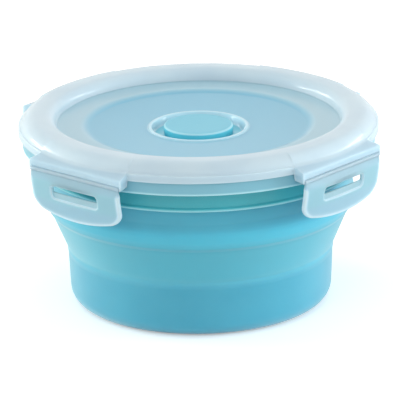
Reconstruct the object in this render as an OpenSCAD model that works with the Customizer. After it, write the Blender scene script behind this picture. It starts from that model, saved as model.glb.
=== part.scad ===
// Collapsible silicone bowl with a latched lid and a vent plug.
// Lengths are in millimetres. +Z is up and the open bowl stands on z = 0.

/* [Cup] */
// Outer radius of the cup, just above its rounded foot
cup_foot_r = 51; // [48:0.5:54]
// Widening of the cup from its foot to the lower fold line
cup_flare = 0.9; // [0.4:0.1:2.5]
// Height of the cup, up to the lower fold line
cup_h = 22.5; // [18:0.5:26]
// Thickness of the floor
floor_t = 2.6; // [2:0.1:4]
// Rounding of the foot, outside
foot_round = 6.5; // [4:0.1:8]
// Rounding between the floor and the wall, inside
corner_round = 4; // [2:0.1:7]
// Width of the ring that the bowl stands on
foot_ring_w = 7; // [4:0.5:14]
// Depth of the hollow inside the standing ring
foot_hollow_d = 0.6; // [0.2:0.1:1.2]
// Thickness of the silicone walls
wall_t = 2.2; // [1.8:0.1:2.8]

/* [Fold] */
// Height of the fold band, which turns inside out when the bowl is pressed flat
fold_h = 16; // [13:0.5:21]
// Widening of the fold band from the lower to the upper fold line
fold_spread = 6.8; // [5:0.1:9]
// Thickness of the fold band
fold_t = 1.3; // [1:0.1:1.8]
// Thickness of the silicone at each fold line
crease_t = 0.8; // [0.5:0.1:1]
// Height of the thinned strip at each fold line
crease_h = 1.6; // [1:0.1:3]

/* [Upper wall] */
// Overhang of the upper wall beyond the fold band
step_w = 1.5; // [0.8:0.1:1.8]
// Height of the bare wall between the fold band and the collar
bare_h = 16; // [13:0.5:20]
// Swell of the wall's lower part beyond the wall above it
swell_out = 0.6; // [0.2:0.1:0.8]
// Height of the swollen part
swell_h = 9.5; // [7:0.5:11]
// Height of the slope at the top of the swollen part
swell_run = 2.5; // [1:0.1:4]
// Height of the wall's rounded lower edge
edge_h = 4.5; // [3:0.1:6]
// Reach of that rounding into the wall
edge_in = 1.2; // [0.6:0.1:1.4]
// Height of the sealing lip above the collar
lip_h = 2.5; // [2:0.1:3.2]
// Reach of the sealing lip over the top of the collar
lip_reach = 2.2; // [1.4:0.1:3]
// Rounding of the sealing lip
lip_round = 0.8; // [0.4:0.1:1]

/* [Collar] */
// Height of the collar
collar_h = 15; // [13:0.5:18]
// Thickness of the collar's sleeve
sleeve_t = 1.7; // [1.2:0.1:2.2]
// Reach of the collar's flange beyond the wall
flange_reach = 8.3; // [7.5:0.1:9.5]
// Thickness of the flange
flange_t = 1.6; // [1.2:0.1:2]
// Height of the flange's down-turned skirt
skirt_h = 6.4; // [5.5:0.1:7]
// Thickness of the skirt
skirt_t = 1.6; // [1.2:0.1:2.2]
// Rounding of the flange's top edge
flange_round = 0.8; // [0.4:0.1:1.2]
// Thickness of the bead round the sleeve's lower edge
bead_t = 0.6; // [0.3:0.1:1]
// Height of that bead
bead_h = 1.1; // [0.8:0.1:2]

/* [Lid] */
// Height of the lid, from the edge of its lip to its crest
lid_h = 7.2; // [6.6:0.1:8]
// Thickness of the lid
lid_t = 1.6; // [1.2:0.1:1.8]
// Thickness of the lid's lip, which goes over the flange
lid_lip_t = 1.1; // [0.9:0.1:1.5]
// Height of the lid's lip
lid_lip_h = 3; // [2.6:0.1:3.4]
// Drop of the lip below the top of the flange
lid_lip_drop = 1.1; // [0.6:0.1:1.6]
// Step from the lip in to the rounded ring above it
lid_lip_step = 0.8; // [0.4:0.1:1]
// Rounding of the ring's outer shoulder
ring_out_round = 7; // [6.5:0.1:8]
// Rounding of the ring's inner shoulder
ring_in_round = 4.2; // [3:0.1:4.6]
// Slope of the ring's inner wall, in degrees
ring_draft = 12; // [4:1:18]
// Drop from the crest to the sunken panel
panel_drop = 4.9; // [4.4:0.1:5.6]
// Width of the panel's outer, frosted border
border_w = 10.6; // [8:0.1:14]
// Drop from the border to the clear disc
disc_drop = 1; // [0.6:0.1:1.4]
// Run of the slope between the border and the disc
disc_run = 1.2; // [0.4:0.1:1.6]

/* [Vent] */
// Radius of the plug's cap
plug_r = 13.6; // [11:0.1:16]
// Thickness of the plug's cap
plug_t = 3.7; // [3:0.1:4.4]
// Rounding of the cap's top edge
plug_round = 1.1; // [0.6:0.1:1.4]
// Space between the cap and the wall of its recess
plug_space = 3.7; // [2:0.1:6]
// Depth of the recess that the plug sits in
recess_d = 3.4; // [2.4:0.1:3.8]
// Slope run of the recess wall
recess_run = 1; // [0.4:0.1:1.6]
// Rounding of the bead round the recess
recess_bead = 0.6; // [0.3:0.1:0.8]
// Radius of the vent hole
vent_r = 3.4; // [2.6:0.1:4.5]
// Clearance between the plug's stem and the vent hole
vent_gap = 0.4; // [0.2:0.1:0.8]
// Lift of the plug before its barb meets the lid
vent_lift = 3; // [2:0.1:4]
// Reach of the barb beyond the vent hole
barb_reach = 1.1; // [0.6:0.1:2]
// Height of the barb
barb_h = 2; // [1.6:0.1:3]

/* [Latches] */
// Width of a latch
latch_w = 46.5; // [38:0.5:50]
// Height of a latch below its hinge
latch_h = 16.7; // [14:0.1:19]
// Thickness of a latch
latch_t = 1.8; // [1.4:0.1:2.2]
// Distance that the latch stands out from the lid
latch_stand = 4; // [3.6:0.1:5]
// Rounding of the latch's lower corners
latch_corner = 5; // [2:0.1:7]
// Radius of the latch's bowed lower edge
latch_bow_r = 70; // [55:5:300]
// Radius of the bow of a latch's plate, seen from above
plate_bow_r = 150; // [110:5:300]
// Flare of the finger lip at the latch's lower edge
latch_flare = 0.6; // [0.2:0.1:1.2]
// Height of the finger lip
latch_flare_h = 4; // [2:0.1:6]
// Width of the latch's window
window_w = 24; // [16:0.5:30]
// Height of the window
window_h = 4.8; // [3.6:0.1:6]
// Rounding of the window's corners
window_round = 1.7; // [0.8:0.1:1.7]
// Height of the part of the window that goes right through
slot_h = 2.5; // [1.8:0.1:3.2]
// Depth of the pocket below the slot
pocket_d = 0.9; // [0.4:0.1:1.2]
// Height of the nose that holds the skirt
nose_h = 1.3; // [1:0.1:2]
// Grip of the nose under the skirt
nose_grip = 1.6; // [1:0.1:2]

/* [Hinges] */
// Distance of the hinge axis out from the lid
hinge_out = 1.5; // [1.2:0.1:2]
// Distance of the hinge axis below the edge of the lid's lip
hinge_drop = 2.2; // [1.6:0.1:2.6]
// Radius of the hinge bead
hinge_r = 0.8; // [0.6:0.1:1]
// Height of the bevel below the hinge bead
bevel_h = 3.8; // [3.2:0.1:4.4]
// Height of the front of the ledge that carries the hinge
ledge_h = 3.3; // [2.6:0.1:3.6]
// Reach of the ledge's front beyond the hinge axis
ledge_out = 0.3; // [0:0.1:0.3]
// Thickness of the cheeks at the ends of the ledge
cheek_t = 0.8; // [0.5:0.1:1.5]
// Drop of the cheeks below the hinge axis
cheek_drop = 0.6; // [0.3:0.1:1]

/* [Fits] */
// Gap between pieces that are fixed together
fit_gap = 0.05; // [0.02:0.01:0.1]
// Gap at faces that close on each other
seat_gap = 0.2; // [0.1:0.05:0.4]
// Gap round the hinge beads
hinge_gap = 0.2; // [0.15:0.05:0.3]
// Gap between the lid and the rim of the bowl
lid_gap = 0.4; // [0.3:0.05:0.6]
// Gap between the rim and the wall of the lid inside it
rim_gap = 0.9; // [0.5:0.1:1.2]

/* [Seal] */
// Width of the sealing ring in the lid
gasket_w = 2.5; // [2:0.1:3]
// Thickness of the rib that holds the sealing ring
rib_t = 1; // [0.8:0.1:1.2]
// Share of the sealing ring's height that the rib covers
rib_share = 0.7; // [0.4:0.05:0.9]

/* [Hidden] */
$fn = 96;

// Number of straight steps in a rounded stretch of a turned outline
arc_steps = 8;
// How far cuts run past the faces they open
overrun = 1;

silicone = [0.36, 0.69, 0.79];
plug_silicone = [0.55, 0.80, 0.88];
frosted = [0.80, 0.88, 0.92];
frosted_dark = [0.52, 0.74, 0.80];

// Levels, from the floor up
fold_low_z = cup_h;
fold_high_z = fold_low_z + fold_h;
collar_z = fold_high_z + bare_h;
collar_top_z = collar_z + collar_h;
skirt_z = collar_top_z - skirt_h;
rim_z = collar_top_z + lip_h;
lid_z = collar_top_z - lid_lip_drop;
crest_z = lid_z + lid_h;
ceiling_z = crest_z - lid_t;
lid_step_z = lid_z + lid_lip_h;
lid_pocket_z = collar_top_z + lid_gap;
panel_z = crest_z - panel_drop;
disc_z = panel_z - disc_drop;
recess_z = disc_z - recess_d;
hinge_z = lid_z - hinge_drop;
latch_z = hinge_z - latch_h;
nose_top_z = skirt_z - seat_gap;
window_top_z = nose_top_z - nose_h;

// Radii, from the axis out
cup_top_r = cup_foot_r + cup_flare;
fold_top_r = cup_top_r + fold_spread;
upper_r = fold_top_r + step_w;
rim_in_r = upper_r - wall_t;
neck_r = upper_r - swell_out;
sleeve_in_r = neck_r + fit_gap;
sleeve_r = sleeve_in_r + sleeve_t;
flange_r = upper_r + flange_reach;
lid_lip_in_r = flange_r + lid_gap;
lid_r = lid_lip_in_r + lid_lip_t;
ring_r = lid_r - lid_lip_step;
panel_r = rim_in_r - rim_gap - (rim_z - panel_z) * tan(ring_draft) - lid_t / cos(ring_draft);
disc_r = panel_r - border_w;
recess_r = plug_r + plug_space + recess_run;
hinge_d = lid_r + hinge_out;
latch_r = lid_r + latch_stand;
nose_r = flange_r - nose_grip;

// Distance from the axis of the bowl back to the axis of the latches' bow
bow_back = plate_bow_r - latch_r;

// Centres of the rounded shoulders of the lid's ring, and where the outer one meets the lip and its pocket
ring_out_cz = crest_z - ring_out_round;
ring_out_low = asin((lid_step_z - ring_out_cz) / ring_out_round);
ring_out_in_low = asin((lid_pocket_z - ring_out_cz) / (ring_out_round - lid_t));
ring_out_c = [ring_r - ring_out_round * cos(ring_out_low), ring_out_cz];
ring_in_cz = crest_z - ring_in_round;
ring_in_tangent_z = ring_in_cz + ring_in_round * sin(ring_draft);
ring_in_c = [
    panel_r + (ring_in_tangent_z - panel_z) * tan(ring_draft) + ring_in_round * cos(ring_draft),
    ring_in_cz
];
gasket_in_r = ring_in_c[0];
gasket_z = rim_z + seat_gap;
gasket_h = ceiling_z - fit_gap - gasket_z;

// Points along an arc about centre c, from one angle to another in degrees
function arc(c, r, from, to) = [
    for (i = [0 : arc_steps])
        let (a = from + (to - from) * i / arc_steps)
        c + r * [cos(a), sin(a)]
];

// Turns a closed outline of [radius, height] points about the axis of the bowl
module turned(outline) {
    rotate_extrude() polygon(outline);
}

// Turns a closed outline of [distance from the axis of the bowl, height] points about the axis of the latches' bow
module bowed(outline) {
    translate([0, bow_back, 0]) turned([for (p = outline) p + [bow_back, 0]]);
}

// Ring with a rectangular section
module ring(inner, outer, z, h) {
    turned([[inner, z], [outer, z], [outer, z + h], [inner, z + h]]);
}

// Cuboid on the front side of the bowl, from one distance to another from the axis
module front_block(w, near, far, z, h) {
    translate([-w / 2, -far, z]) cube([w, far - near, h]);
}

// Extrudes an outline of [distance from the axis, height] points across the front of the bowl
module across_front(w) {
    rotate([90, 0, -90]) linear_extrude(height = w, center = true) children();
}

// Extrudes an outline of [sideways, height] points from the axis out through the front
module through_front(far) {
    rotate([90, 0, 0]) linear_extrude(height = far) children();
}

// Rounded rectangle on the line x = 0, from height z up
module rounded_box(w, z, h, r) {
    translate([-w / 2, z + r]) square([w, h - 2 * r]);
    translate([r - w / 2, z]) square([w - 2 * r, h]);
    for (side = [-1, 1], level = [z + r, z + h - r])
        translate([side * (w / 2 - r), level]) circle(r);
}

// Floor and lower wall, on which the bowl stands
module base_cup() {
    ring_out_r = cup_foot_r - foot_round;
    ring_in_r = ring_out_r - foot_ring_w;
    inner_r = cup_foot_r - wall_t;
    color(silicone) turned(concat(
        [[0, foot_hollow_d], [ring_in_r - foot_hollow_d, foot_hollow_d], [ring_in_r, 0]],
        arc([ring_out_r, foot_round], foot_round, -90, 0),
        [[cup_top_r, cup_h], [cup_top_r - wall_t, cup_h]],
        arc([inner_r - corner_round, floor_t + corner_round], corner_round, 0, -90),
        [[0, floor_t]]
    ));
}

// Flared band between the two fold lines, thinned at both
module fold_band() {
    lean = fold_spread / fold_h;
    color(silicone) turned([
        [cup_top_r, fold_low_z],
        [fold_top_r, fold_high_z],
        [fold_top_r - crease_t, fold_high_z],
        [fold_top_r - fold_t - crease_h * lean, fold_high_z - crease_h],
        [cup_top_r - fold_t + crease_h * lean, fold_low_z + crease_h],
        [cup_top_r - crease_t, fold_low_z]
    ]);
}

// Upper wall, swollen at its foot, with the sealing lip that folds over the collar
module upper_wall() {
    swell_z = fold_high_z + swell_h;
    lip_r = upper_r + lip_reach;
    lip_z = collar_top_z + fit_gap;
    edge_r = (pow(edge_in, 2) + pow(edge_h, 2)) / (2 * edge_in);
    color(silicone) turned(concat(
        [[rim_in_r, fold_high_z]],
        arc([upper_r - edge_r, fold_high_z + edge_h], edge_r, -asin(edge_h / edge_r), 0),
        [[upper_r, swell_z - swell_run], [neck_r, swell_z], [neck_r, lip_z], [lip_r, lip_z]],
        arc([lip_r - lip_round, rim_z - lip_round], lip_round, 0, 90),
        arc([rim_in_r + lip_round, rim_z - lip_round], lip_round, 90, 180)
    ));
}

// Stiff collar round the upper wall, with the flange and skirt that the latches hold
module rim_collar() {
    web_z = collar_top_z - flange_t;
    bead_r = sleeve_r + bead_t;
    color(frosted_dark) turned(concat(
        [[sleeve_in_r, collar_z], [bead_r, collar_z], [bead_r, collar_z + bead_h]],
        [[sleeve_r, collar_z + bead_h + bead_t], [sleeve_r, web_z]],
        [[flange_r - skirt_t, web_z], [flange_r - skirt_t, skirt_z], [flange_r, skirt_z]],
        arc([flange_r - flange_round, collar_top_z - flange_round], flange_round, 0, 90),
        [[sleeve_in_r, collar_top_z]]
    ));
}

// Upper side of the lid, from the vent hole out to the edge of the lip
function lid_upper_side() = concat(
    [[vent_r, recess_z], [recess_r - recess_run, recess_z]],
    arc([recess_r + recess_bead, disc_z], recess_bead, 180, 0),
    [[disc_r - disc_run, disc_z], [disc_r, panel_z], [panel_r, panel_z]],
    arc(ring_in_c, ring_in_round, 180 - ring_draft, 90),
    arc(ring_out_c, ring_out_round, 90, ring_out_low),
    [[lid_r, lid_step_z], [lid_r, lid_z]]
);

// Under side of the lid, from the lip back to the vent hole
function lid_under_side() = concat(
    [[lid_lip_in_r, lid_z], [lid_lip_in_r, lid_pocket_z]],
    arc(ring_out_c, ring_out_round - lid_t, ring_out_in_low, 90),
    arc(ring_in_c, ring_in_round - lid_t, 90, 180 - ring_draft),
    [[panel_r + lid_t / cos(ring_draft) - lid_t * tan(ring_draft), panel_z - lid_t]],
    [[disc_r + disc_run, panel_z - lid_t], [disc_r, disc_z - lid_t]],
    [[recess_r + lid_t, disc_z - lid_t], [recess_r - recess_run + lid_t, recess_z - lid_t]],
    [[vent_r, recess_z - lid_t]]
);

// Ledge on the lid's lip, sloping to its front, with a groove for one hinge bead and a cheek at each end
module hinge_ledge() {
    bay_w = latch_w + 2 * hinge_gap;
    full_w = bay_w + 2 * cheek_t;
    near = sqrt(pow(lid_r, 2) - pow(full_w / 2, 2));
    ledge_z = hinge_z + hinge_gap;
    cheek_z = hinge_z - cheek_drop;
    front = hinge_d + ledge_out;
    difference() {
        across_front(full_w) polygon([
            [near, cheek_z], [front, cheek_z], [front, ledge_z + ledge_h], [near, lid_step_z]
        ]);
        translate([0, 0, cheek_z - overrun]) cylinder(r = lid_lip_in_r, h = lid_h);
        front_block(bay_w, 0, front + overrun, cheek_z - overrun, ledge_z - cheek_z + overrun);
        across_front(bay_w) translate([hinge_d, hinge_z]) circle(hinge_r + hinge_gap);
    }
}

// Lid: raised ring, sunken panel, plug recess, rib for the seal and four hinge ledges
module lid_shell() {
    rib_r = gasket_in_r + gasket_w + fit_gap;
    rib_h = gasket_h * rib_share;
    color(frosted) union() {
        turned(concat(lid_upper_side(), lid_under_side()));
        ring(rib_r, rib_r + rib_t, ceiling_z - rib_h, rib_h + lid_t / 2);
        for (turn = [0 : 90 : 270])
            rotate(turn) hinge_ledge();
    }
}

// Sealing ring in the lid, which closes on the sealing lip
module lid_gasket() {
    color(silicone) ring(gasket_in_r, gasket_in_r + gasket_w, gasket_z, gasket_h);
}

// Vent plug: cap in the recess, stem through the vent hole and barb below the lid
module vent_plug() {
    stem_r = vent_r - vent_gap;
    barb_r = vent_r + barb_reach;
    cap_z = recess_z + seat_gap;
    barb_z = recess_z - lid_t - seat_gap - vent_lift;
    color(plug_silicone) turned(concat(
        [[0, barb_z - barb_h], [stem_r - barb_reach, barb_z - barb_h], [barb_r, barb_z]],
        [[stem_r, barb_z], [stem_r, cap_z], [plug_r, cap_z]],
        arc([plug_r - plug_round, cap_z + plug_t - plug_round], plug_round, 0, 90),
        [[0, cap_z + plug_t]]
    ));
}

// Outline of a latch's plate: square at the hinge, with round corners that run smoothly into its bowed lower edge
module latch_outline() {
    corner_x = latch_w / 2 - latch_corner;
    bow_rest = latch_bow_r - latch_corner;
    corner_z = latch_z + latch_bow_r - sqrt(pow(bow_rest, 2) - pow(corner_x, 2));
    bow_x = corner_x * latch_bow_r / bow_rest;
    intersection() {
        union() {
            rounded_box(latch_w, corner_z - latch_corner, hinge_z - corner_z + 2 * latch_corner, latch_corner);
            translate([-bow_x, latch_z]) square([2 * bow_x, corner_z - latch_z]);
        }
        translate([0, latch_z + latch_bow_r]) circle(latch_bow_r);
    }
}

// Plate of a latch: straight at its hinge, then gently bowed, with its finger lip
module latch_plate() {
    inner_r = latch_r - latch_t;
    neck = hinge_r / 2;
    neck_z = hinge_z - neck;
    far = latch_r + latch_flare + overrun;
    slope = bevel_h / (latch_r - hinge_d - neck);
    far_z = neck_z - (far - hinge_d - neck) * slope;
    end_near = sqrt(pow(inner_r + bow_back, 2) - pow(latch_w / 2, 2)) - bow_back - overrun / 2;
    neck_far = norm([hinge_d + hinge_r + bow_back, latch_w / 2]) - bow_back;
    intersection() {
        bowed([
            [inner_r, latch_z], [latch_r + latch_flare, latch_z],
            [latch_r, latch_z + latch_flare_h], [latch_r, nose_top_z],
            [neck_far, neck_z], [hinge_d - neck, neck_z],
            [inner_r, nose_top_z]
        ]);
        across_front(latch_w + overrun) polygon([
            [hinge_d - neck, neck_z], [hinge_d + neck, neck_z], [far, far_z],
            [far, latch_z - overrun], [end_near, latch_z - overrun], [end_near, nose_top_z]
        ]);
        through_front(far) latch_outline();
    }
}

// Bead along the top of a latch, which turns in the ledge's groove
module hinge_bead() {
    across_front(latch_w) translate([hinge_d, hinge_z]) circle(hinge_r);
}

// Nose inside a latch, which grips under the collar's skirt
module latch_nose() {
    root_r = latch_r - latch_t / 2;
    intersection() {
        turned([
            [nose_r + nose_h / 2, window_top_z], [root_r, window_top_z], [root_r, nose_top_z],
            [nose_r, nose_top_z], [nose_r, nose_top_z - nose_h / 2]
        ]);
        front_block(window_w, 0, latch_r, window_top_z, nose_h);
    }
}

// Window in a latch: a slot right through, and a shallow pocket below it
module latch_window() {
    slot_z = window_top_z - slot_h;
    low_z = window_top_z - window_h;
    pocket_r = latch_r - pocket_d;
    far = latch_r + latch_flare + overrun;
    intersection() {
        through_front(far) rounded_box(window_w, low_z, window_h, window_round);
        union() {
            front_block(window_w, nose_r, far, slot_z, slot_h);
            bowed([[pocket_r, low_z], [far, low_z], [far, window_top_z], [pocket_r, window_top_z]]);
        }
    }
}

// One latch, turned about the axis from the front of the bowl
module latch(turn) {
    color(frosted) rotate(turn) difference() {
        union() {
            latch_plate();
            hinge_bead();
            latch_nose();
        }
        latch_window();
    }
}

base_cup();
fold_band();
upper_wall();
rim_collar();
lid_shell();
lid_gasket();
vent_plug();
latch(0);  // latch_front
latch(90);  // latch_right
latch(180);  // latch_back
latch(270);  // latch_left
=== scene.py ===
# %% [markdown]
# # A collapsible silicone bowl with a latched lid
#
# The real object is a soft silicone bowl whose wall folds flat, a stiff collar that keeps its rim
# round, and a frosted lid with a vent plug and four hinged latches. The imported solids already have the
# right sizes, so this lesson only dresses them: every visible piece is made again as a smooth surface
# in the same frame, and gets its finish.

# %% Load the frame
import math

import bmesh
import bpy
import numpy as np
from mathutils import Matrix, Vector


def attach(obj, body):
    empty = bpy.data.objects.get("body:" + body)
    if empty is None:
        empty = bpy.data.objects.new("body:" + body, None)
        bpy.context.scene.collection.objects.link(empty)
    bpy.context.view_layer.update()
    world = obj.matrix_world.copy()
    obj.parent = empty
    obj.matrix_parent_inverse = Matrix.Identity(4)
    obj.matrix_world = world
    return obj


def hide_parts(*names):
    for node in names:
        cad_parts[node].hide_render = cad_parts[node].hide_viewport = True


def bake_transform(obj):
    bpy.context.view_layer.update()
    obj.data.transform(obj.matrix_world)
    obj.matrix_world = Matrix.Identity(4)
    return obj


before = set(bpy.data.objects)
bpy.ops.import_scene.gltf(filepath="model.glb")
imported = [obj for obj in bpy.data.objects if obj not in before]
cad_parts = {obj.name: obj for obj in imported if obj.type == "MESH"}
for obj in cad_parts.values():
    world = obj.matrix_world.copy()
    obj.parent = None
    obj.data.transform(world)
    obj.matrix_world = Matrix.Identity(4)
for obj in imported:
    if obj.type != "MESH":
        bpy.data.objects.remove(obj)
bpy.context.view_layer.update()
MM = 0.001

# %% [markdown]
# ## The camera
#
# A product picture is taken from far away with a long lens, so that round rims stay nearly true
# ellipses. The camera could be placed by eye, but the rims of the lid, the collar and the foot are
# ellipses of known radius and height, and they fix its azimuth, elevation, roll and lens. Aiming a
# little above the bowl's middle frames it without any lens shift.

# %% Camera
def direction(azimuth, elevation):
    """Unit vector (sin a cos e, -cos a cos e, sin e) for azimuth a from the front and elevation e.

    Both angles are in degrees.
    """
    a, e = math.radians(azimuth), math.radians(elevation)
    return Vector((math.sin(a) * math.cos(e), -math.cos(a) * math.cos(e), math.sin(e)))


camera_azimuth, camera_elevation = 41.0, 18.79
camera_roll = math.radians(0.993)
camera_far = 1.6
image_px, lens_px, sensor_mm = 400, 4084.65, 36
target = Vector((0, 0, 0.03))
off_right_px, off_up_px = -0.13, 21.47

back = direction(camera_azimuth, camera_elevation)
level_right = direction(camera_azimuth + 90, 0)
level_up = back.cross(level_right)
right = math.cos(camera_roll) * level_right - math.sin(camera_roll) * level_up
up = math.cos(camera_roll) * level_up + math.sin(camera_roll) * level_right
eye = target + camera_far * back
aim = target + (off_right_px * right + off_up_px * up) * camera_far / lens_px
back = (eye - aim).normalized()
up = back.cross(right).normalized()
right = up.cross(back)

camera = bpy.data.objects.new("camera", bpy.data.cameras.new("camera"))
bpy.context.scene.collection.objects.link(camera)
bpy.context.scene.camera = camera
camera.data.sensor_width = sensor_mm
camera.data.lens = sensor_mm * lens_px / image_px
camera.data.clip_start, camera.data.clip_end = 0.05, 20
camera.location = eye
camera.rotation_mode = "QUATERNION"
camera.rotation_quaternion = Matrix((right, up, back)).transposed().to_quaternion()
print("camera at", [round(v, 3) for v in eye], "with a lens of", round(camera.data.lens, 1), "mm")

# %% [markdown]
# ## Outlines with rounded corners
#
# Almost every piece here is turned about one axis, and none has a sharp edge, because moulds have none.
# A section can be drawn by its corners, as a draughtsman does, with a radius written at each corner.
# The corners then become arcs in one go, for as many sections at once as needed: a section that changes
# on its way round is a third array axis.

# %% Rounded and spread outlines
# An arc takes at least this many mm of a side, and two arcs at most this share of the side between them.
least_reach, side_share = 0.04, 0.98


def rounded(corners, radii, steps=7):
    """Closed outline with an arc at each corner.

    Where two sides meet at the inside angle b, an arc of radius R touches both sides R / tan(b / 2) away
    from the corner C, at P and Q. Two arcs that want more than the side between them share it in
    proportion. A point of the arc is (1-t)^2 P + 2wt(1-t) C + t^2 Q, divided by the sum of those three
    weights, with w = sin(b / 2) and t from 0 to 1.
    """
    c = np.asarray(corners, float)
    c = c[:, None, :] if c.ndim == 2 else c
    to_last = np.roll(c, 1, axis=0) - c
    to_next = np.roll(c, -1, axis=0) - c
    next_len = np.linalg.norm(to_next, axis=-1, keepdims=True)
    to_last, to_next = to_last / np.roll(next_len, 1, axis=0), to_next / next_len
    half = np.arccos(np.clip((to_last * to_next).sum(-1, keepdims=True), -1, 1)) / 2
    wanted = np.maximum(np.reshape(radii, (len(c), -1, 1)) / np.tan(half), least_reach)
    room = np.minimum(1, side_share * next_len / (wanted + np.roll(wanted, -1, axis=0)))
    reach = wanted * np.minimum(room, np.roll(room, 1, axis=0))
    t = np.linspace(0, 1, steps)[:, None, None]
    p, q = (c + reach * to_last)[:, None], (c + reach * to_next)[:, None]
    middle = (2 * np.sin(half))[:, None] * t * (1 - t)
    arc = ((1 - t) ** 2 * p + middle * c[:, None] + t**2 * q) / ((1 - t) ** 2 + middle + t**2)
    return arc.reshape(-1, c.shape[1], 2)


def rounded_section(rows):
    """Outline of a turned section from rows of distance from the axis, height and corner radius."""
    rows = np.asarray(rows, float)
    return rounded(rows[:, :2], rows[:, 2])


def spread(outline, gap, closed=True):
    """The outline with extra points on its long sides, evenly spaced and no more than gap apart."""
    following = np.roll(outline, -1, axis=0)
    count = np.ceil(np.linalg.norm(following - outline, axis=-1).max(axis=1) / gap).astype(int)
    count = np.maximum(count, 1)
    if not closed:
        count[-1] = 1
    row = np.repeat(np.arange(len(outline)), count)
    share = (np.arange(len(row)) - np.repeat(np.cumsum(count) - count, count)) / count[row]
    return outline[row] + share[:, None, None] * (following[row] - outline[row])


def turned(outline, angles):
    """Surface of a turned section: at angle a, a point of radius r is at (r sin a, -r cos a, z)."""
    r, z = outline[..., 0], outline[..., 1]
    return np.stack([r * np.sin(angles), -r * np.cos(angles), z + 0 * angles], axis=-1)


square = rounded_section([(0, 0, 1), (9, 0, 1), (9, 9, 1), (0, 9, 1)])
print("a square with rounded corners has", len(square), "points")

# %% [markdown]
# ## From grids to meshes
#
# A surface is an array of points in rows and columns, and neighbours become four-sided faces. A ring
# closes in both directions, and a solid of revolution ends in poles, where a whole row shares one point
# and is merged. The signed volume of the grid, the sum of p . (q x r) over its triangles, says whether
# its faces point outwards.

# %% Grids into pieces
weld = 1e-6


def cell_corners(rows, columns, wrap_rows, wrap_columns):
    """Point numbers of each face: (i, j), (i, j+1), (i+1, j+1) and (i+1, j).

    A direction that wraps is taken modulo its count.
    """
    i = np.arange(rows if wrap_rows else rows - 1)[:, None]
    j = np.arange(columns if wrap_columns else columns - 1)[None, :]
    here, below, beside = i * columns, (i + 1) % rows * columns, (j + 1) % columns
    return np.stack([here + j, here + beside, below + beside, below + j], axis=-1).reshape(-1, 4)


def signed_volume(points, faces):
    """Sum of p . (q x r) / 6 over the two triangles of every face."""
    a, b, c, d = (points[faces[:, k]] for k in range(4))
    return ((a * np.cross(b, c)).sum() + (a * np.cross(c, d)).sum()) / 6


def piece(name, grids, marks=None):
    """A smooth object from grids of points in millimetres, each (points, wrap_rows, wrap_columns).

    marks are per-point numbers for the finish, one array over the points of all grids for each name.
    """
    points, faces, start = [], [], 0
    for grid, wrap_rows, wrap_columns in grids:
        corners = cell_corners(*grid.shape[:2], wrap_rows, wrap_columns)
        flat = grid.reshape(-1, 3)
        corners = corners if signed_volume(flat, corners) > 0 else corners[:, ::-1]
        points.append(flat)
        faces.append(corners + start)
        start += len(flat)
    points, faces = np.concatenate(points), np.concatenate(faces)
    mesh = bpy.data.meshes.new(name)
    mesh.from_pydata((points * MM).tolist(), [], faces.tolist())
    for mark, values in (marks or {}).items():
        numbers = np.ravel(values).astype(np.float32)
        mesh.attributes.new(mark, "FLOAT", "POINT").data.foreach_set("value", numbers)
    merged = bmesh.new()
    merged.from_mesh(mesh)
    bmesh.ops.remove_doubles(merged, verts=merged.verts, dist=weld)
    merged.to_mesh(mesh)
    merged.free()
    mesh.polygons.foreach_set("use_smooth", np.ones(len(mesh.polygons), bool))
    made = bpy.data.objects.new(name, mesh)
    bpy.context.scene.collection.objects.link(made)
    volume_ml = round(signed_volume(points, faces) / 1000, 1)
    print(name, "has", len(mesh.polygons), "faces and holds", volume_ml, "ml")
    return made


def smooth(t):
    """3t^2 - 2t^3, with t kept between 0 and 1."""
    t = np.clip(t, 0, 1)
    return t * t * (3 - 2 * t)


circle_columns = 240
circle = np.linspace(0, 2 * np.pi, circle_columns, endpoint=False)
print("a full turn has", circle_columns, "columns, one every", 360 / circle_columns, "degrees")

# %% [markdown]
# ## The silicone bowl
#
# The bowl is one moulding, although the solids split it where it folds. One closed section, from the
# axis along the foot, up the outside, over the sealing lip and down the inside, gives it as one skin.
# Its fold lines are thin: the lower one is a soft ridge above the cup, and the upper one a crease under the
# swollen foot of the upper wall. Three marks on the points tell the finish where to paint light and shade:
# a painted highlight on the ridge, painted shade in the crease and paler painted light on the thin band
# between the lines.

# %% Bowl skin
fold_low, fold_high = 22.5, 38.5
bowl_outline = rounded_section([
    (0, 0.6, 0), (36.9, 0.6, 0.5), (37.5, 0, 0.4), (50.95, 0, 6.5),
    (51.75, 19.8, 4), (52.05, 21.6, 1.2), (52, 22.9, 3),
    (58.1, 37.3, 1.5), (59.15, 38.7, 1.2), (59.95, 40.9, 4), (60.25, 43.4, 5), (60.2, 45.3, 4),
    (59.58, 48.4, 4), (59.58, 69.56, 0.2), (62.4, 69.56, 0.3), (62.4, 72, 0.8), (58, 72, 0.8),
    (58, 39.2, 0.8), (57.6, 38, 0.8), (56.8, 36.6, 1.5),
    (51.1, 23.6, 1), (51, 22.6, 0.3), (49.75, 22.4, 0.5), (48.8, 2.6, 4), (0, 2.6, 0),
])
bowl_outline = spread(bowl_outline, gap=1.5, closed=False)
bowl_points = turned(bowl_outline, circle)

cup_inside_r, ridge_highlight_half, crease_shade_half = 51, 1.6, 1.4
band_light_start, band_light_rise = fold_low - 1, 2
band_light_end, band_light_fall = fold_high + 9, 4
height = bowl_points[..., 2]
outside_cup = (bowl_outline[..., 0] > cup_inside_r) * np.ones_like(height)
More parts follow.
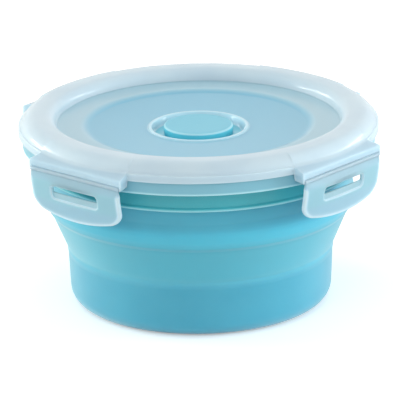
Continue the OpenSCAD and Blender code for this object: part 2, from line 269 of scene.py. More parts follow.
# The marks say where the finish paints light and shade: a highlight on the lower fold line's ridge, shade
# in the upper one's crease and paler light on the thin band between them.
bowl_marks = {
    "fold": outside_cup * np.exp(-(((height - fold_low) / ridge_highlight_half) ** 2)),
    "painted_crease_shade": outside_cup * np.exp(-(((height - fold_high) / crease_shade_half) ** 2)),
    "painted_band_light": smooth((height - band_light_start) / band_light_rise) * smooth((band_light_end - height) / band_light_fall),
}
bowl = piece("bowl_skin", [(bowl_points, False, True)], bowl_marks)
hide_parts("base_cup", "fold_band", "upper_wall")
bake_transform(bowl)

# %% [markdown]
# ## The collar
#
# A stiff ring keeps the soft rim round: a sleeve on the wall, a flange on top and a skirt that turns
# down, under which the latches grip. It is one turned section, closed in both directions.

# %% Collar
collar_outline = rounded_section([
    (59.65, 54.5, 0.2), (61.95, 54.5, 0.4), (61.95, 55.6, 0.4), (61.35, 56.2, 0.5), (61.35, 67.9, 0.8),
    (66.9, 67.9, 0.5), (66.9, 63.1, 0.3), (68.5, 63.1, 0.5), (68.5, 69.5, 0.8), (59.65, 69.5, 0.1),
])
collar_points = turned(spread(collar_outline, gap=2), circle)
collar = piece("collar_ring", [(collar_points, True, True)])
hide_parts("rim_collar")
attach(collar, "rim")

# %% [markdown]
# ## The lid
#
# The lid is turned too, but four straight ledges for the hinges stand out of its lip. They could be
# separate blocks, which would leave faces inside the lid. Instead the lip's outer radius is a function
# of the angle: the same all round, and in front of each latch the distance to the ledge's straight
# front, with a smooth step from one to the other at the ledge's ends. The section's outer corners
# follow that radius, and all other corners stay the same all round. Under each ledge is a bay with a
# groove for the latch's hinge, between two cheeks.

# %% Ledge outline
lip_r, ledge_front = 70.0, 71.8
ledge_turn, bay_turn, end_turn = 0.317, 0.3045, 0.012
plain_columns, hair, past_end = 200, 0.001, 0.02
# Extra columns, by their angle from a latch in radians, where its bay and its ledge end.
close_up = np.concatenate([
    np.linspace(bay_turn - 12 * hair, bay_turn - hair, 3),
    np.linspace(bay_turn + hair, ledge_turn - 2 * hair, 12),
    np.linspace(ledge_turn - hair, ledge_turn + past_end, 9),
])
close_up = np.concatenate([close_up, -close_up])
quarters = np.arange(4) * np.pi / 2
lid_angles = np.linspace(0, 2 * np.pi, plain_columns, endpoint=False)
lid_angles = np.concatenate([lid_angles, (quarters[:, None] + close_up).ravel()])
lid_angles = np.unique(np.round(np.mod(lid_angles, 2 * np.pi), 6))
from_latch = np.mod(lid_angles + np.pi / 4, np.pi / 2) - np.pi / 4
ledge_share = smooth((ledge_turn - np.abs(from_latch)) / end_turn + 0.5)
outer_r = lip_r + ledge_share * (ledge_front / np.cos(from_latch) - lip_r)
on_ledge = np.abs(from_latch) < ledge_turn
in_bay = np.abs(from_latch) < bay_turn
print("the lid has", len(lid_angles), "columns and reaches out", round(outer_r.max(), 2), "mm")


# %% Lid corners that change on the way round
def by_place(plain, cheek, bay):
    """One value on the plain lip, another at a ledge's cheeks and a third in the bay between them."""
    return np.where(in_bay, bay, np.where(on_ledge, cheek, plain))


foot_r, step_z, front_z = 69.2, 71.4, 69.7
jut_start, jut_run = 0.1, 1.2
jut = smooth((outer_r - lip_r - jut_start) / jut_run)


def lip_or_ledge(plain_r, plain_z, share):
    """A corner on the plain lip, moved by jut onto the slope from the ring's foot to a ledge's front.

    The corner is plain + jut (slope - plain), where slope lies at share of the way down the slope.
    """
    slope_r, slope_z = foot_r + share * (outer_r - foot_r), step_z + share * (front_z - step_z)
    return plain_r + jut * (slope_r - plain_r), plain_z + jut * (slope_z - plain_z)


tab_share, tab_low, tab_rise = 0.4, 65.6, 2.8
tab_turn = bay_turn + tab_share * (ledge_turn - bay_turn)
tab_z = tab_low + tab_rise * smooth((np.abs(from_latch) - tab_turn) / (ledge_turn - tab_turn))
groove_front, groove_wall = 70.5, 0.3
groove_r = groove_front / np.cos(np.clip(from_latch, -bay_turn, bay_turn))
groove_r = np.minimum(groove_r, outer_r - groove_wall)
bay_z, groove_z, lip_z, lip_in_r, nudge = 66.98, 66.4, 68.4, 68.9, 0.01
under_z, cheek_z = lip_z - nudge, tab_z - nudge
print("a ledge's cheeks come down to", round(tab_z.min(), 2), "mm")

# %% Lid
# Each row is a corner's distance from the axis, its height and its radius, in mm.
recess_and_disc = [
    (3.4, 66.3, 0.3), (17.3, 66.3, 0.9), (18.25, 69.5, 0.55), (19.5, 69.5, 0.55), (19.6, 68.95, 0.4),
    (42.3, 69.7, 5),
]
panel_and_ring = [
    (45.4, 70.7, 5), (55.19, 70.7, 0.6), (56.23, 75.6, 4.2), (67.37, 75.6, 7),
    (foot_r, step_z, 0.3 + 3.5 * jut),
]
lip_and_ledges = [
    (*lip_or_ledge(lip_r, step_z, 0.4), 0.45),
    (*lip_or_ledge(lip_r + 0.1 * nudge, 69.8, 0.7), 0.3),
    (outer_r + 0.2 * nudge, 69 + 0.7 * jut, 0.4 + 0.7 * jut),
    (outer_r, by_place(lip_z, tab_z, bay_z), by_place(0.35, 0.35, 0.7)),
    (by_place(69.7, groove_r, groove_r), by_place(under_z, cheek_z, bay_z), by_place(0, 0, 0.7)),
    (by_place(69.3, groove_r - 0.3, groove_r - 3 * nudge), by_place(under_z, cheek_z, groove_z), 0.1),
    (lip_in_r, by_place(lip_z, tab_z, groove_z), 0.2),
]
pocket_and_seal_rib = [
    (lip_in_r, 69.9, 0.3), (68.02, 69.9, 0.3), (67, 74, 5.4),
    (63.18, 74, 0.3), (63.18, 72.78, 0.3), (62.18, 72.78, 0.3), (62.18, 74, 0.2), (57.53, 74, 2.6),
]
underside = [
    (56.49, 69.1, 1), (45.8, 69.1, 1.5), (44.6, 68.1, 1.5), (19.9, 67.35, 0.8), (18.9, 64.7, 0.8),
    (3.4, 64.7, 0.3),
]
lid_corners = recess_and_disc + panel_and_ring + lip_and_ledges + pocket_and_seal_rib + underside
lid_rows = np.stack([np.stack([value + 0 * lid_angles for value in row], axis=-1) for row in lid_corners])
lid_outline = spread(rounded(lid_rows[..., :2], lid_rows[..., 2], steps=6), gap=3)
lid = piece("lid_cover", [(turned(lid_outline, lid_angles), True, True)])
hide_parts("lid_shell")
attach(lid, "lid")

# %% [markdown]
# ## The seal and the vent plug
#
# A soft ring in the lid closes on the bowl's lip, and is seen only when the lid is off. The plug is a
# thick button with a stem through the vent hole and a barb that keeps it from being lost. Both are
# turned sections again.

# %% Seal and plug
seal_outline = rounded_section([
    (59.65, 72.2, 0.6), (62.12, 72.2, 0.6), (62.12, 73.94, 0.3), (59.65, 73.94, 0.3),
])
seal = piece("seal_ring", [(turned(seal_outline, circle), True, True)])
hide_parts("lid_gasket")
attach(seal, "lid")

plug_outline = rounded_section([
    (0, 59.5, 0), (1.9, 59.5, 0.4), (4.5, 61.5, 0.4), (3, 61.55, 0.2), (3, 66.5, 0.4),
    (13.4, 66.5, 0.5), (13.6, 70.2, 1.1), (0, 70.05, 0),
])
plug_outline = spread(plug_outline, gap=1.5, closed=False)
plug = piece("plug_button", [(turned(plug_outline, circle[::2]), False, True)])
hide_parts("vent_plug")
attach(plug, "plug")

# %% [markdown]
# ## The latches
#
# A latch is a plate with a window, straight at its hinge and bowed round the lid at its finger edge. As
# a surface it is a ring: from the window's edge out over the front, round the outer edge, and back over
# the rear. So the grid's columns run round the window, and its rows run across the plate between three
# loops: the slot, the window's rim and the outline. A bead at the hinge and a nose that grips the
# collar are small swept solids of their own.

# %% Latch loops
corner_points, side_points = 9, 12


def loop(half_width, low, high, low_round, high_round):
    """Rounded box of [sideways, height] points with the same number of points on each side and corner."""
    corners = [(-half_width, high), (half_width, high), (half_width, low), (-half_width, low)]
    radii = [high_round, high_round, low_round, low_round]
    arcs = rounded(corners, radii, steps=corner_points)[:, 0].reshape(4, corner_points, 2)
    share = np.linspace(0, 1, side_points + 2)[1:-1, None]
    sides = arcs[:, -1:] * (1 - share) + np.roll(arcs, -1, axis=0)[:, :1] * share
    return np.concatenate([arcs, sides], axis=1).reshape(-1, 2)


hinge_d, hinge_z, neck_z, foot_z = 71.5, 66.2, 65.9, 48.6
half_latch, slot_half, window_half = 22.2, 11.3, 11.7
into_bead, edge_bow = 0.6, 70.0
slot_loop = loop(slot_half, low=58.7, high=61.2, low_round=0.35, high_round=1.2)
window_loop = loop(window_half, low=56.1, high=61.6, low_round=1.8, high_round=1.7)
outline_loop = loop(half_latch, low=foot_z, high=neck_z + into_bead, low_round=5, high_round=0.4)
down_share = (neck_z - outline_loop[:, 1]) / (neck_z - foot_z)
outline_loop[:, 1] += outline_loop[:, 0] ** 2 / (2 * edge_bow) * down_share
print("a latch's loops have", len(outline_loop), "points")

# %% Latch faces
bevel_low, plate_out, hinge_skin, soft = 62.0, 73.3, 0.6, 0.3
lean, bow, bow_more = 0.15, 0.0018, 0.00005
flare_out, flare_z, flare_h, flare_most, flare_power = 0.35, 52.5, 3, 1.1, 1.3
neck_thick, plate_more, thicken_h = 0.9, 0.9, 3


def plate_face(x, z, side):
    """Distance of the plate's front (side 1) or rear (side -1) from the bowl's axis plane.

    Going down from the hinge the front follows a flat bevel, until it meets the bowed plate; the soft
    minimum of both, -s log(exp(-a / s) + exp(-b / s)), rounds the line between them. The plate leans in as
    it goes down, and bows more. Its front flares a little at the finger edge, and it is thinner at the
    hinge than below it.
    """
    bevel_slope = (plate_out - hinge_d - hinge_skin) / (neck_z - bevel_low)
    bevel = hinge_d + hinge_skin + bevel_slope * (neck_z - z)
    drop = np.maximum(bevel_low - z, 0)
    bowed = plate_out - lean * drop - (bow + bow_more * drop) * x**2
    front = -soft * np.logaddexp(-bevel / soft, -bowed / soft)
    flare = flare_out * np.clip((flare_z - z) / flare_h, 0, flare_most) ** flare_power
    rear = front - neck_thick - plate_more * smooth((neck_z - z) / thicken_h)
    return np.where(side > 0, front + flare, rear)


thickness = plate_face(0, bevel_low, 1) - plate_face(0, bevel_low, -1)
print("the plate is", round(float(thickness), 2), "mm thick below its bevel")

# %% Latch plate
edge_round, pocket, slot_chamfer, window_dip, rear_bevel = 0.6, 0.9, 0.12, 0.1, 0.25
# The painted edge highlight fades away from the window and from the outline, and is weak above the bare
# height.
window_fade, outline_fade = 0.5, 0.9
# Strengths of the painted edge highlight at the pocket, at its step and at the rear of the slot.
pocket_edge, step_edge, rear_edge = 0.35, 0.5, 0.2
bare_z, bare_h, bare_share = 62.5, 2, 0.8
pocket_rows = [
    (0, pocket + slot_chamfer), (0.12, pocket), (0.8, pocket), (0.93, pocket * 0.85), (1, pocket * 0.4),
]
face_shares = np.concatenate([[0.02, 0.06], np.linspace(0.12, 1, 9)])
rear_shares = np.linspace(0.94, 0, 9)
turn_in = np.linspace(0, np.pi / 2, 5)
across = outline_loop - window_loop
run = np.linalg.norm(across, axis=-1)
inside = run - edge_round
rows, depths, sides, edges = [], [], [], []


def add_row(place, depth, side, edge):
    """Adds a row of the plate: its loop, its depth under a face, the face's side and the strength of its
    painted edge highlight.
    """
    rows.append(place)
    depths.append(depth)
    sides.append(side)
    edges.append(edge + np.zeros(len(place)))


for share, depth in pocket_rows:
    edge = pocket_edge + step_edge * (depth < pocket)
    add_row(slot_loop + share * (window_loop - slot_loop), depth, 1, edge)
for share in face_shares:
    place = window_loop + across * (share * inside / run)[:, None]
    edge = np.exp(-share * inside / window_fade) + np.exp(-(1 - share) * inside / outline_fade)
    add_row(place, window_dip * (share == face_shares[0]), 1, edge)
for side, angles in ((1, turn_in[1:]), (-1, turn_in[::-1])):
    for angle in angles:
        place = outline_loop - across * (edge_round * (1 - math.sin(angle)) / run)[:, None]
        add_row(place, edge_round * (1 - math.cos(angle)), side, 1.0)
for share in rear_shares:
    add_row(window_loop + across * share, 0, -1, 0.0)
add_row(slot_loop, rear_bevel, -1, rear_edge)

rows, sides, depths = np.stack(rows), np.array(sides)[:, None], np.array(depths)[:, None]
face = plate_face(rows[..., 0], rows[..., 1], sides)
plate_points = np.stack([rows[..., 0], -(face - sides * depths), rows[..., 1]], axis=-1)
plate_edges = np.stack(edges) * (1 - bare_share * smooth((rows[..., 1] - bare_z) / bare_h))
print("a latch's plate has", plate_points.shape[0], "rows of", plate_points.shape[1], "points")

# %% Latch bead and nose
end_sizes_and_depths = [(0.0, 0.0), (0.75, 0.0), (0.93, 0.07), (1.0, 0.25)]


def swept(section, path_points):
    """Closed sweep of a loop along a path, shrunk to its middle at both ends to round and close them.

    section is an (m, n, 3) array: the n points of the loop at each of the m path points. A shrunk loop
    is middle + size (loop - middle) + depth times the unit vector into the sweep.
    """
    middle = section.mean(axis=1, keepdims=True)
    ends = []
    for end, inward in ((0, path_points[1] - path_points[0]), (-1, path_points[-2] - path_points[-1])):
        unit = inward / np.linalg.norm(inward)
        whole = section[end] - middle[end]
        ends.append([middle[end] + size * whole + depth * unit for size, depth in end_sizes_and_depths])
    return np.concatenate([np.stack(ends[0]), section[1:-1], np.stack(ends[1][::-1])])


bead_r, nose_r, nose_round, sweep_steps = 0.8, 70, 0.2, 24
bead_turn = np.linspace(0, 2 * np.pi, sweep_steps, endpoint=False)
bead_x = np.linspace(-half_latch, half_latch, sweep_steps)
bead_path = np.stack([bead_x, np.full(sweep_steps, -hinge_d), np.full(sweep_steps, hinge_z)], axis=-1)
bead_ring = bead_r * np.stack([0 * bead_turn, np.cos(bead_turn), np.sin(bead_turn)], axis=-1)
bead_points = swept(bead_path[:, None] + bead_ring, bead_path)

nose_corners = [(67.5, 61.62), (73, 61.62), (73, 62.88), (66.9, 62.88), (66.9, 62.2)]
nose_section = rounded(nose_corners, [nose_round] * len(nose_corners), steps=5)
nose_turn = np.linspace(-1, 1, sweep_steps) * math.asin(slot_half / nose_r)
nose_solid = turned(nose_section, nose_turn).transpose(1, 0, 2)
nose_points = swept(nose_solid, nose_solid.mean(axis=1))
print("the bead has", bead_points.size // 3, "points and the nose", nose_points.size // 3)

# %% Four latches
# Strengths of the painted edge highlight on the hinge bead and on the nose.
bead_edge, nose_edge = 0.6, 0.3
latch_grids = [(plate_points, True, True), (bead_points, False, True), (nose_points, False, True)]
latch_edges = np.concatenate([
    plate_edges.ravel(),
    np.full(bead_points.size // 3, bead_edge),
    np.full(nose_points.size // 3, nose_edge),
])
latches = []
for quarter, name in enumerate(("front", "right", "back", "left")):
    cosine, sine = round(math.cos(quarter * math.pi / 2)), round(math.sin(quarter * math.pi / 2))
    about_axis = np.array([[cosine, -sine, 0], [sine, cosine, 0], [0, 0, 1]])
    grids = [(points @ about_axis.T, *wraps) for points, *wraps in latch_grids]
    latch = piece(f"latch_plate_{name}", grids, {"edge": latch_edges})
    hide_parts(f"latch_{name}")
    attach(latch, f"{name}_latch")
    latches.append(latch)

# %% [markdown]
# ## Finishes as expressions
#
# A finish is a tree of nodes, which is tiring to wire by hand. Here a small class wraps a socket, so
# that arithmetic on it adds Math nodes, and a tree has one method that makes any other node from its
# type, settings and inputs. A few more methods name what the finishes ask for often, such as a soft
# step or a fine grain.

# %% Shader expressions
class Signal:
    """A socket of a node tree. Arithmetic on it adds Math nodes to the tree."""

    def __init__(self, nodes, socket):
        self.nodes, self.socket = nodes, socket

    def math(self, operation, first, second):
        """A Math node's result for two numbers or sockets."""
        return self.nodes.node("ShaderNodeMath", {"operation": operation}, {0: first, 1: second})

    def __add__(self, other):
        return self.math("ADD", self, other)

    def __radd__(self, other):
        return self.math("ADD", other, self)

    def __sub__(self, other):
        return self.math("SUBTRACT", self, other)

    def __rsub__(self, other):
        return self.math("SUBTRACT", other, self)

    def __mul__(self, other):
        return self.math("MULTIPLY", self, other)

    def __rmul__(self, other):
        return self.math("MULTIPLY", other, self)

    def __pow__(self, other):
        return self.math("POWER", self, other)

    def __rpow__(self, other):
        return self.math("POWER", other, self)


class Nodes:
    """A node tree and the few ways its nodes are made here."""

    def __init__(self, tree):
        self.tree = tree
        self.tree.nodes.clear()

    def feed(self, node, inputs):
        """Links each signal to the socket it is for, and sets each plain value on its socket."""
        for key, value in inputs.items():
            if isinstance(value, Signal):
                self.tree.links.new(value.socket, node.inputs[key])
            else:
                node.inputs[key].default_value = value

    def node(self, kind, settings=None, inputs=None, output=0):
        """Any node, from its type, its settings and its inputs, as the signal of one of its outputs."""
        made = self.tree.nodes.new(kind)
        for key, value in (settings or {}).items():
            setattr(made, key, value)
        self.feed(made, inputs or {})
        return Signal(self, made.outputs[output]) if made.outputs else None

    def mix(self, share, first, second):
        """(1 - share) first + share second, for colours."""
        return self.node("ShaderNodeMix", {"data_type": "RGBA"}, {0: share, 6: first, 7: second}, output=2)

    def step(self, value, start, end):
        """0 up to start, 1 from end on, and 3t^2 - 2t^3 between them."""
        settings = {"interpolation_type": "SMOOTHSTEP"}
        return self.node("ShaderNodeMapRange", settings, {0: value, 1: start, 2: end, 3: 0, 4: 1})

    def spot(self):
        """Object coordinates in millimetres."""
        metres = self.node("ShaderNodeTexCoord", output="Object")
        return self.node("ShaderNodeVectorMath", {"operation": "SCALE"}, {0: metres, "Scale": 1 / MM})

    def along(self, vector, axis):
        """One coordinate of a vector: 0 for x, 1 for y and 2 for z, the height."""
        return self.node("ShaderNodeSeparateXYZ", None, {0: vector}, output=axis)

    def from_axis(self, vector):
        """Distance from the bowl's axis, the root of x^2 + y^2."""
        x, y = self.along(vector, 0), self.along(vector, 1)
        return (x * x + y * y) ** 0.5

    def noise(self, vector, scale, detail):
        """Smooth noise between 0 and 1, with scale waves to the millimetre."""
        return self.node("ShaderNodeTexNoise", None, {"Vector": vector, "Scale": scale, "Detail": detail})

    def mark(self, name):
        """A mark that a piece's points carry."""
        return self.node("ShaderNodeAttribute", {"attribute_name": name}, output="Fac")

    def bump(self, height, depth, strength):
        """A normal tilted as if the surface rose by height times depth, in millimetres."""
        inputs = {"Height": height, "Distance": depth * MM, "Strength": strength}
        return self.node("ShaderNodeBump", None, inputs)


class Finish(Nodes):
    """A material with one Principled surface."""

    def __init__(self, name):
        self.material = bpy.data.materials.new(name)
        self.material.use_nodes = True
        super().__init__(self.material.node_tree)
        self.surface = self.tree.nodes.new("ShaderNodeBsdfPrincipled")
        self.node("ShaderNodeOutputMaterial", None, {"Surface": Signal(self, self.surface.outputs[0])})

    def coat(self, *pieces, **sockets):
        """Sets the surface's sockets, named with _ for a space, and gives the finish to pieces."""
        self.feed(self.surface, {key.replace("_", " "): value for key, value in sockets.items()})
        for each in pieces:
            each.data.materials.clear()
            each.data.materials.append(self.material)
        print(self.material.name, "has", len(self.tree.nodes), "nodes on", [each.name for each in pieces])


def paint(red, green, blue):
    """A colour as a screen shows it, 0 to 255, as the linear light that Blender reckons in.

    A share s of full scale is ((s + 0.055) / 1.055)^2.4 of the light, or s / 12.92 in the darkest part.
    """
    share = np.array([red, green, blue]) / 255
    light = np.where(share <= 0.04045, share / 12.92, ((share + 0.055) / 1.055) ** 2.4)
    return (*light.tolist(), 1.0)


print("mid grey on a screen is", round(paint(128, 128, 128)[0], 3), "of white in linear light")

# %% [markdown]
# ## Silicone
#
# Moulded silicone is satin, slightly see-through and never quite even. The thin band between the fold lines
# is painted paler, as painted light. The ridge of the lower fold line carries a painted highlight, and the
# crease of the upper one is painted darker, as painted shade. Its pigment is faintly cloudy, and its skin
# carries the mould's fine blasted grain. Scattering under the surface gives the soft edge between light and
# shade, and a little sheen the bloom that soft silicone has at its outline.

# %% Bowl silicone
blue, blue_cloud = paint(76, 172, 199), paint(82, 177, 203)
# Painted colours: paler light for the thin band, a highlight for the lower ridge and shade for the upper
# crease.
band_light_blue, ridge_highlight_blue, crease_shade_blue = paint(85, 198, 229), paint(108, 202, 228), paint(56, 150, 178)
band_light_share, ridge_highlight_share, crease_shade_share = 0.8, 0.5, 0.25
silicone = Finish("bowl_silicone")
vector = silicone.spot()
cloud = silicone.noise(vector, scale=0.045, detail=3)
grain = silicone.noise(vector, scale=2.2, detail=2)
tone = silicone.mix(silicone.step(cloud, start=0.3, end=0.7), blue, blue_cloud)
# Painted light on the thin band, a painted highlight on the ridge and painted shade in the crease.
tone = silicone.mix(silicone.mark("painted_band_light") * band_light_share, tone, band_light_blue)
tone = silicone.mix(silicone.mark("fold") * ridge_highlight_share, tone, ridge_highlight_blue)
tone = silicone.mix(silicone.mark("painted_crease_shade") * crease_shade_share, tone, crease_shade_blue)
silicone.coat(
    bowl, Base_Color=tone, Roughness=0.38 + 0.16 * grain,
    Normal=silicone.bump(grain, depth=0.02, strength=0.5),
    Subsurface_Weight=0.7, Subsurface_Radius=(0.7, 1.0, 1.0), Subsurface_Scale=0.008, IOR=1.41,
    Sheen_Weight=0.55, Sheen_Roughness=0.45,
)

# %% Plug and seal silicone
# The pale line colour is a painted highlight on the plug's top edge. The seal lies wholly inside its mask,
# so there it only makes the seal paler.
rim_highlight_seal_pale, rim_highlight_share, low_shade_share, grain_share = paint(205, 242, 248), 0.5, 0.8, 0.1
for name, wearer, light, shade_and_grain_tone in (
    ("plug_silicone", plug, paint(138, 208, 228), paint(80, 196, 215)),
    ("seal_silicone", seal, paint(196, 222, 230), paint(176, 210, 221)),
):
    button = Finish(name)
    vector = button.spot()
    radius, level = button.from_axis(vector), button.along(vector, 2)
    grain = button.noise(vector, scale=2.2, detail=2)
    # Painted shade: the plug's side low in the recess is painted darker. The seal sits above it and takes
    # only the grain.
    painted_low_shade = button.step(level, start=69.9, end=69.2)
    tone = button.mix(painted_low_shade * low_shade_share + grain_share * grain, light, shade_and_grain_tone)
    # A painted highlight along the plug's top edge.
    rim = button.step(radius, start=12.6, end=13.1) * button.step(level, start=69.3, end=69.7)
    tone = button.mix(rim * rim_highlight_share, tone, rim_highlight_seal_pale)
    button.coat(
        wearer, Base_Color=tone, Roughness=0.4 + 0.15 * grain,
        Normal=button.bump(grain, depth=0.02, strength=0.5),
        Subsurface_Weight=0.3, Subsurface_Radius=(0.8, 1.0, 1.0), Subsurface_Scale=0.002, IOR=1.41,
    )

# %% [markdown]
# ## Frosted plastic
#
# The lid and latches are milky polypropylene with a glossy skin. Light enters and scatters, so edges look
# paler, and the blue bowl shows through as a tint. The lid's middle disc is thinner and clearer, so it
# takes more of the blue, and a latch takes a teal tint where the collar stands behind it. Those tints are
# painted by the distance from the axis or by the height. The latches' pale edges and the lid's pale recess
# rim are painted highlights, and a thin dark line at the foot of the ring's inner wall is painted shade.
# Scattering does the rest, with a faint painted glow, an emission, for the light that goes on inside the
# plastic.

# %% Lid plastic
milk_light, milk_cloud, lip_milk = paint(187, 209, 222), paint(194, 215, 226), paint(168, 197, 212)
# The darker foot colour is painted shade for a thin line at the foot of the ring's inner wall, and the pale
# recess colour is a painted highlight on the recess rim.
panel_tint, foot_shade_tint, disc_tint = paint(159, 198, 213), paint(132, 178, 194), paint(110, 181, 208)
recess_highlight_tint, recess_floor_tint = paint(178, 214, 228), paint(104, 204, 224)
strong_share, foot_shade_share = 0.9, 0.5
frosted = Finish("lid_plastic")
vector = frosted.spot()
radius = frosted.from_axis(vector)
cloud = frosted.noise(vector, scale=0.05, detail=3)
frost = frosted.noise(vector, scale=3.5, detail=2)
lip = frosted.step(radius, start=69.4, end=70.8)
panel = 1 - frosted.step(radius, start=54.4, end=55.4)
# Painted shade: a thin darker line where the ring's inner wall meets the panel.
foot_shade_line = frosted.step(radius, start=54.4, end=54.9) * (1 - frosted.step(radius, start=55.1, end=55.35))
disc = 1 - frosted.step(radius, start=42.2, end=46.2)
recess_highlight = 1 - frosted.step(radius, start=19.4, end=20.4)
recess_floor = 1 - frosted.step(radius, start=16.6, end=17.4)
tone = frosted.mix(frosted.step(cloud, start=0.3, end=0.7), milk_light, milk_cloud)
tone = frosted.mix(lip * strong_share, tone, lip_milk)
tone = frosted.mix(panel, tone, panel_tint)
tone = frosted.mix(foot_shade_line * foot_shade_share, tone, foot_shade_tint)
tone = frosted.mix(disc, tone, disc_tint)
# A painted highlight: the recess rim is painted pale.
tone = frosted.mix(recess_highlight * strong_share, tone, recess_highlight_tint)
tone = frosted.mix(recess_floor * strong_share, tone, recess_floor_tint)
# The emission is a faint painted glow of the lid's own colour, for light scattered inside the plastic.
frosted.coat(
    lid, Base_Color=tone, Roughness=0.26 + 0.14 * frost,
    Normal=frosted.bump(frost, depth=0.015, strength=0.4),
    Subsurface_Weight=0.7, Subsurface_Radius=(1.0, 1.0, 1.0), Subsurface_Scale=0.005, IOR=1.49,
    Coat_Weight=0.5, Coat_Roughness=0.05, Emission_Color=tone, Emission_Strength=0.1,
)

# %% Latch plastic
latch_milk, latch_frost, teal_tint = paint(163, 203, 219), paint(171, 208, 222), paint(150, 210, 216)
# The bright edge colour is a painted highlight, and the two glow colours are a painted glow for light
# carried inside the plastic.
bright_edge, dim_glow, edge_light = paint(222, 243, 255), paint(140, 164, 176), paint(200, 230, 244)
frost_share, teal_share, edge_highlight_share = 0.3, 0.4, 0.85
clip = Finish("latch_plastic")
vector = clip.spot()
level = clip.along(vector, 2)
frost = clip.noise(vector, scale=3.5, detail=2)
tone = clip.mix(frost * frost_share, latch_milk, latch_frost)
behind = clip.step(level, start=53.5, end=56.5) * (1 - clip.step(level, start=62, end=64))
tone = clip.mix(behind * teal_share, tone, teal_tint)
# Painted highlight: the edges are painted pale where the edge mark is strong.
rim = clip.step(clip.mark("edge"), start=0.1, end=1)
tone = clip.mix(rim * edge_highlight_share, tone, bright_edge)
# The emission is a painted glow, stronger at the edges.
glow = clip.mix(rim, dim_glow, edge_light)
clip.coat(
    *latches, Base_Color=tone, Roughness=0.32 + 0.12 * frost,
    Normal=clip.bump(frost, depth=0.015, strength=0.4),
    Subsurface_Weight=0.7, Subsurface_Radius=(1.0, 1.0, 1.0), Subsurface_Scale=0.005, IOR=1.49,
    Coat_Weight=0.4, Coat_Roughness=0.15, Transmission_Weight=0.35,
    Emission_Color=glow, Emission_Strength=0.12,
)

# %% Collar plastic
sleeve_teal, skirt_blue = paint(54, 178, 190), paint(126, 186, 203)
# The pale edge colour is a painted highlight.
pale_edge, pale_frost = paint(190, 238, 246), paint(176, 216, 226)
skirt_edge_share, sleeve_edge_share, frost_share = 0.7, 0.5, 0.15
tinted = Finish("collar_plastic")
vector = tinted.spot()
radius, level = tinted.from_axis(vector), tinted.along(vector, 2)
frost = tinted.noise(vector, scale=3.5, detail=2)
skirt = tinted.step(radius, start=63, end=65.5)
tone = tinted.mix(skirt, sleeve_teal, skirt_blue)
# Painted highlights: pale lines along the bottom edges of the skirt and of the sleeve.
skirt_edge = skirt * (1 - tinted.step(level, start=63.5, end=64.3))
sleeve_edge = 1 - tinted.step(level, start=54.9, end=55.6)
tone = tinted.mix(skirt_edge * skirt_edge_share + sleeve_edge * sleeve_edge_share, tone, pale_edge)
tone = tinted.mix(frost_share * frost, tone, pale_frost)
tinted.coat(
    collar, Base_Color=tone, Roughness=0.32 + 0.12 * frost,
    Normal=tinted.bump(frost, depth=0.015, strength=0.4),
    Subsurface_Weight=0.3, Subsurface_Radius=(0.9, 1.0, 1.0), Subsurface_Scale=0.003, IOR=1.49,
)

# %% [markdown]
# ## Floor, light and backdrop
#
# The picture is a white studio. The floor is nearly white paper, and what the camera sees of it is
# lifted a little by a glow that only camera rays see, so it turns white and still keeps the bowl's
# shadow. Two large soft boxes beside the bowl brighten its flanks, and one in front lights the lid from
# above. A big box mirrored in a glossy lid would turn it white, so these three aren't mirrored, and two
# long, low strips draw the thin streaks along the lid's ring instead.

# %% Floor
black, white, paper_white = (0, 0, 0, 1), (1, 1, 1, 1), (0.92, 0.92, 0.92, 1)
floor_half, floor_z = 3.0, -0.0002
floor_corners = [(x * floor_half, y * floor_half, floor_z) for x, y in ((-1, -1), (1, -1), (1, 1), (-1, 1))]
floor_mesh = bpy.data.meshes.new("floor")
floor_mesh.from_pydata(floor_corners, [], [(0, 1, 2, 3)])
floor = bpy.data.objects.new("floor", floor_mesh)
bpy.context.scene.collection.objects.link(floor)
paper = Finish("floor_paper")
glow = paper.mix(paper.node("ShaderNodeLightPath", output="Is Camera Ray"), black, white)
paper.coat(floor, Base_Color=paper_white, Roughness=0.9, Emission_Color=glow, Emission_Strength=0.35)

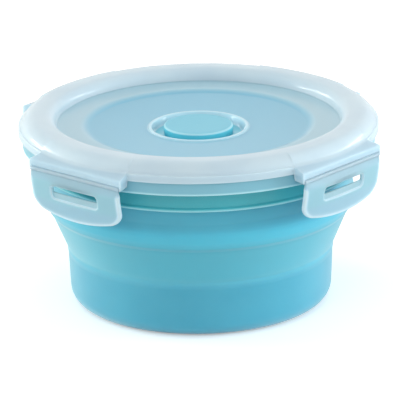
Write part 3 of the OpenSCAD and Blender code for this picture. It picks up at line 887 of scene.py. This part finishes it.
# %% World
ambient_strength, backdrop_strength = 0.66, 1.0
world = bpy.data.worlds.new("studio")
world.use_nodes = True
bpy.context.scene.world = world
studio = Nodes(world.node_tree)
ambient = studio.node("ShaderNodeBackground", None, {"Color": white, "Strength": ambient_strength})
backdrop = studio.node("ShaderNodeBackground", None, {"Color": white, "Strength": backdrop_strength})
rays = ("Is Camera Ray", "Is Glossy Ray", "Is Transmission Ray")
seen, mirrored, through = (studio.node("ShaderNodeLightPath", output=ray) for ray in rays)
# A Mix Shader takes a sum over 1 as 1.
either = studio.node("ShaderNodeMixShader", None, {0: seen + mirrored + through, 1: ambient, 2: backdrop})
studio.node("ShaderNodeOutputWorld", None, {"Surface": either})
print("the studio has", len(studio.tree.nodes), "nodes")

# %% Soft boxes
bowl_middle = Vector((0, 0, 0.04))


def soft_box(name, turn, elevation, far, size, watts, tint=(1.0, 1.0, 1.0), mirrored=False):
    """An area lamp that faces the bowl's middle, turned from the camera's azimuth and raised, in degrees.

    Glossy surfaces mirror it only if asked to.
    """
    toward = direction(camera_azimuth + turn, elevation)
    lamp = bpy.data.lights.new(name, "AREA")
    lamp.shape = "RECTANGLE"
    lamp.size, lamp.size_y = size
    lamp.energy, lamp.color = watts, tint
    box = bpy.data.objects.new(name, lamp)
    bpy.context.scene.collection.objects.link(box)
    box.location = bowl_middle + far * toward
    box.rotation_euler = toward.to_track_quat("Z", "Y").to_euler()
    box.visible_camera, box.visible_glossy = False, mirrored
    print(name, "gives", watts, "W from", [round(v, 2) for v in box.location])


box_size, strip_size, front_size = (0.5, 0.6), (0.7, 0.08), (1.0, 1.0)
soft_box("left_box", turn=-106, elevation=4, far=1.0, size=box_size, watts=6.3, tint=(0.98, 1.0, 0.88))
soft_box("right_box", turn=84, elevation=4, far=1.0, size=box_size, watts=7.4, tint=(0.88, 0.97, 1.0))
soft_box("left_strip", turn=-112, elevation=14, far=1.0, size=strip_size, watts=1.9, mirrored=True)
soft_box("right_strip", turn=108, elevation=14, far=1.0, size=strip_size, watts=1.2, mirrored=True)
soft_box("front_box", turn=-10, elevation=40, far=1.6, size=front_size, watts=4.2)

# %% Colour view
bpy.context.scene.view_settings.view_transform = "Standard"
